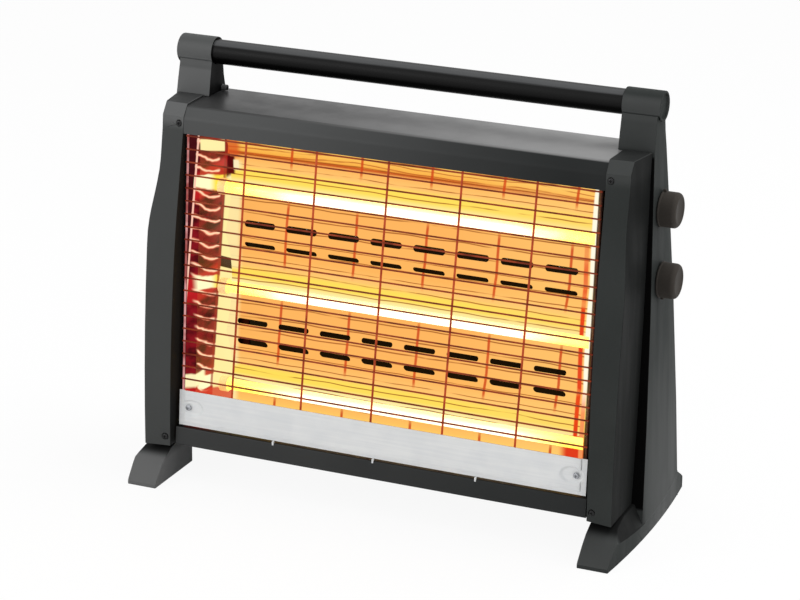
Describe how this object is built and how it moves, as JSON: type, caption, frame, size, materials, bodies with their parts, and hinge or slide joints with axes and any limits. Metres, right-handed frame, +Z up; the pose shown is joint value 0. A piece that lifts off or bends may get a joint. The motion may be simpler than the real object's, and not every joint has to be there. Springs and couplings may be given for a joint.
{
  "type": "halogen heater",
  "caption": "Free-standing bar heater: glowing quartz tubes before a slotted reflector behind a wire grille, in a folded casing between moulded end frames with a tube handle.",
  "frame": {"origin": "centre of the bounding box at the soles of the feet", "axes": "+X from the plain end towards the end with the knobs, along the handle; -Y is the glowing front; +Z up"},
  "size_m": [0.5456, 0.236, 0.449],
  "materials": {
    "casing_steel": "dark grey semi-gloss powder coat on folded steel sheet",
    "frame_plastic": "dark grey fine-grained moulded plastic",
    "handle_steel": "satin black painted tube",
    "knob_plastic": "brown-black satin plastic",
    "panel_aluminium": "bright rolled aluminium sheet",
    "reflector_sheet": "polished aluminium reflector sheet",
    "grille_wire": "nickel-plated steel wire, tinted by the glow",
    "quartz": "clear quartz tube, glowing",
    "heating_wire": "resistance wire, glowing orange-yellow",
    "ceramic": "unglazed off-white ceramic",
    "zinc": "zinc-plated steel",
    "brass": "brass weight",
    "black_plastic": "black moulded plastic"
  },
  "bodies": {
    "heater": {"top_cover": "casing_steel", "bottom_tray": "casing_steel", "rear_panel": "casing_steel", "reflector": "reflector_sheet", "wire_grille": "grille_wire", "lower_panel": "panel_aluminium", "left_reflector_end": "reflector_sheet", "left_front_column": "frame_plastic", "left_end_frame": "frame_plastic", "right_reflector_end": "reflector_sheet", "right_front_column": "frame_plastic", "right_end_frame": "frame_plastic", "quartz_tube_1": "quartz", "heating_coil_1": "heating_wire", "left_ceramic_cap_1": "ceramic", "right_ceramic_cap_1": "ceramic", "quartz_tube_2": "quartz", "heating_coil_2": "heating_wire", "left_ceramic_cap_2": "ceramic", "right_ceramic_cap_2": "ceramic", "quartz_tube_3": "quartz", "heating_coil_3": "heating_wire", "left_ceramic_cap_3": "ceramic", "right_ceramic_cap_3": "ceramic", "handle_tube": "handle_steel", "upper_switch": "black_plastic", "upper_switch_nut": "zinc", "lower_switch": "black_plastic", "lower_switch_nut": "zinc", "left_upper_column_screw": "zinc", "left_upper_rear_screw": "zinc", "left_lower_column_screw": "zinc", "left_lower_rear_screw": "zinc", "left_panel_screw": "zinc", "right_upper_column_screw": "zinc", "right_upper_rear_screw": "zinc", "right_lower_column_screw": "zinc", "right_lower_rear_screw": "zinc", "right_panel_screw": "zinc", "cord_inlet": "black_plastic", "terminal_block": "ceramic", "thermal_cutout": "black_plastic", "tip_switch_frame": "zinc", "tip_switch_pin": "zinc", "tip_microswitch": "black_plastic"},
    "upper_knob": {"upper_knob": "knob_plastic", "upper_switch_shaft": "zinc"},
    "lower_knob": {"lower_knob": "knob_plastic", "lower_switch_shaft": "zinc"},
    "tip_pendulum": {"tip_switch_pendulum": "brass"}
  },
  "joints": [
    {"name": "upper_knob_turn", "type": "hinge", "parent": "heater", "child": "upper_knob", "pos_m": [0.2622, 0.014, 0.331], "axis": [1, 0, 0], "range_deg": [0, 180]},
    {"name": "lower_knob_turn", "type": "hinge", "parent": "heater", "child": "lower_knob", "pos_m": [0.2642, 0.014, 0.259], "axis": [1, 0, 0], "range_deg": [-180, 0]},
    {"name": "tip_pendulum_swing", "type": "hinge", "parent": "heater", "child": "tip_pendulum", "pos_m": [0.2372, 0.025, 0.0703], "axis": [1, 0, 0], "range_deg": [-15, 15]}
  ]
}
